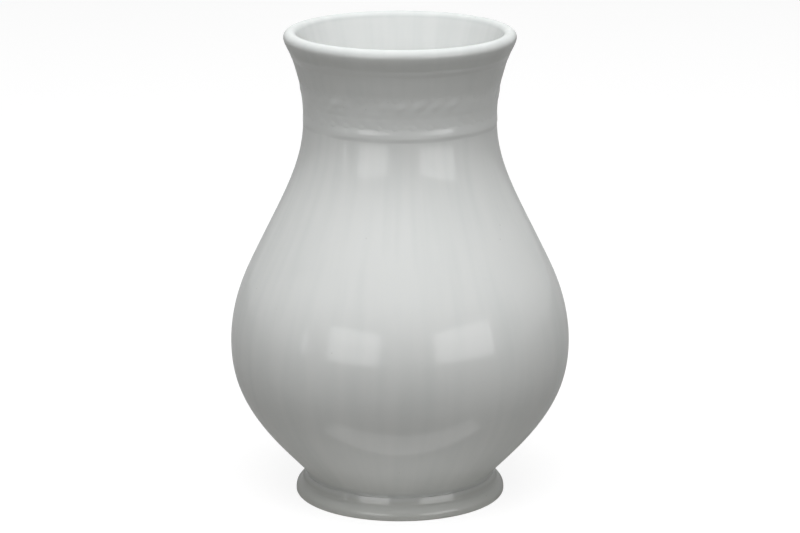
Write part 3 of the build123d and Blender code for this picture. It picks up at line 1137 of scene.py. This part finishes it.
def floor_material():
    """A pale floor that looks white, keeps the shadow and throws little light back."""
    studio = bpy.context.scene.vase_studio
    material = bpy.data.materials.new("Studio floor")
    material.use_nodes = True
    tree = material.node_tree
    tree.nodes.clear()
    end = add_node(tree, "ShaderNodeOutputMaterial")
    mirrored = add_node(tree, "ShaderNodeLightPath").outputs["Is Glossy Ray"]
    seen = white_ray_mask(tree)

    matt = add_node(tree, "ShaderNodeBsdfDiffuse")
    shown = mix_colour(tree, mirrored, FLOOR_SEEN, FLOOR_MIRRORED)
    dim = (studio.floor_albedo,) * 3
    tree.links.new(mix_colour(tree, seen, dim, shown), matt.inputs["Color"])

    place = add_node(tree, "ShaderNodeTexCoord").outputs["Object"]
    reach = add_node(tree, "ShaderNodeVectorMath", operation="LENGTH")
    tree.links.new(place, reach.inputs[0])
    bounce = range_node(tree, reach.outputs["Value"], *NEAR_SPAN,
                        NEAR_BOUNCE * studio.floor_bounce, studio.floor_bounce)
    seen_glow = range_node(tree, mirrored, 0.0, 1.0, studio.floor_glow, MIRRORED_GLOW)
    glow = add_node(tree, "ShaderNodeEmission")
    warm = mix_colour(tree, seen, studio.bounce_colour, (1, 1, 1))
    tree.links.new(warm, glow.inputs["Color"])
    tree.links.new(mix_value(tree, seen, bounce, seen_glow), glow.inputs["Strength"])

    both = add_node(tree, "ShaderNodeAddShader")
    tree.links.new(matt.outputs[0], both.inputs[0])
    tree.links.new(glow.outputs[0], both.inputs[1])
    tree.links.new(both.outputs[0], end.inputs["Surface"])
    return material


def studio_world():
    """White for what is seen or mirrored, and a dim room that is brighter above for the rest."""
    studio = bpy.context.scene.vase_studio
    world = bpy.data.worlds.new("Studio")
    world.use_nodes = True
    tree = world.node_tree
    tree.nodes.clear()
    end = add_node(tree, "ShaderNodeOutputWorld")
    lit = add_node(tree, "ShaderNodeBackground", values={"Color": (1, 1, 1, 1)})
    direction = add_node(tree, "ShaderNodeTexCoord").outputs["Generated"]
    up = split_node(tree, direction)["Z"]
    room = range_node(tree, up, *ROOM_SPAN, studio.ambient, ROOM_TOP * studio.ambient)
    strength = mix_value(tree, white_ray_mask(tree), room, 1.0)
    tree.links.new(strength, lit.inputs["Strength"])
    tree.links.new(lit.outputs[0], end.inputs["Surface"])
    return world


def add_floor():
    """The round floor that the vase stands on, which isn't part of it."""
    bm = bmesh.new()
    bmesh.ops.create_circle(bm, cap_ends=True, radius=FLOOR_RADIUS, segments=FLOOR_SIDES)
    mesh = bpy.data.meshes.new("floor")
    bm.to_mesh(mesh)
    bm.free()
    mesh.materials.append(floor_material())
    floor = bpy.data.objects.new("floor", mesh)
    bpy.context.collection.objects.link(floor)


def add_camera():
    """The camera in front of the vase, raised and tipped down towards it."""
    studio = bpy.context.scene.vase_studio
    lens = bpy.data.cameras.new("camera")
    lens.lens = studio.lens
    lens.sensor_width = SENSOR_WIDTH
    lens.clip_start = NEAREST_VIEW
    camera = bpy.data.objects.new("camera", lens)
    camera.location = (0, -studio.camera_distance, studio.camera_height)
    camera.rotation_euler = (math.pi / 2 - studio.camera_pitch, 0, 0)
    bpy.context.collection.objects.link(camera)
    return camera


class VASE_OT_stage(bpy.types.Operator):
    """Adds the pale floor, the soft lights, the room and the camera"""

    bl_idname = "vase.stage"
    bl_label = "Stage"

    def execute(self, context):
        studio = context.scene.vase_studio
        add_floor()
        for softbox in SOFTBOXES:
            add_softbox(softbox, getattr(studio, softbox.brightness))
        for window in WINDOWS:
            add_window(window, studio.window)
        context.scene.world = studio_world()
        context.scene.camera = add_camera()
        context.scene.view_settings.view_transform = "Standard"
        return {"FINISHED"}


class VASE_PT_panel(bpy.types.Panel):
    """Lists the vase's pieces, sizes and finishes"""

    bl_label = "Porcelain vase"
    bl_idname = "VASE_PT_panel"
    bl_space_type = "VIEW_3D"
    bl_region_type = "UI"
    bl_category = "Vase"

    def draw(self, context):
        layout = self.layout
        for operator in OPERATORS:
            layout.operator(operator.bl_idname)
        for group in ("vase_sizes", "vase_finish", "vase_studio"):
            values = getattr(context.scene, group)
            box = layout.box()
            for name in values.__annotations__:
                box.prop(values, name)


OPERATORS = (
    VASE_OT_body, VASE_OT_foot, VASE_OT_seam, VASE_OT_border_strips, VASE_OT_garland,
    VASE_OT_berries, VASE_OT_stage,
)
GROUPS = {"vase_sizes": VaseSizes, "vase_finish": VaseFinish, "vase_studio": VaseStudio}


def register():
    """Adds the classes and hangs their settings on the scene."""
    for group in GROUPS.values():
        bpy.utils.register_class(group)
    for name, group in GROUPS.items():
        setattr(bpy.types.Scene, name, PointerProperty(type=group))
    for operator in OPERATORS:
        bpy.utils.register_class(operator)
    bpy.utils.register_class(VASE_PT_panel)


def unregister():
    """Takes everything away that register has added."""
    bpy.utils.unregister_class(VASE_PT_panel)
    for operator in reversed(OPERATORS):
        bpy.utils.unregister_class(operator)
    for name in GROUPS:
        delattr(bpy.types.Scene, name)
    for group in reversed(GROUPS.values()):
        bpy.utils.unregister_class(group)


def main():
    """Builds the dressed vase and its stage."""
    register()
    bpy.ops.vase.body()
    bpy.ops.vase.foot()
    bpy.ops.vase.seam()
    bpy.ops.vase.border_strips()
    bpy.ops.vase.garland()
    bpy.ops.vase.berries()
    bpy.ops.vase.stage()


if __name__ == "__main__":
    main()
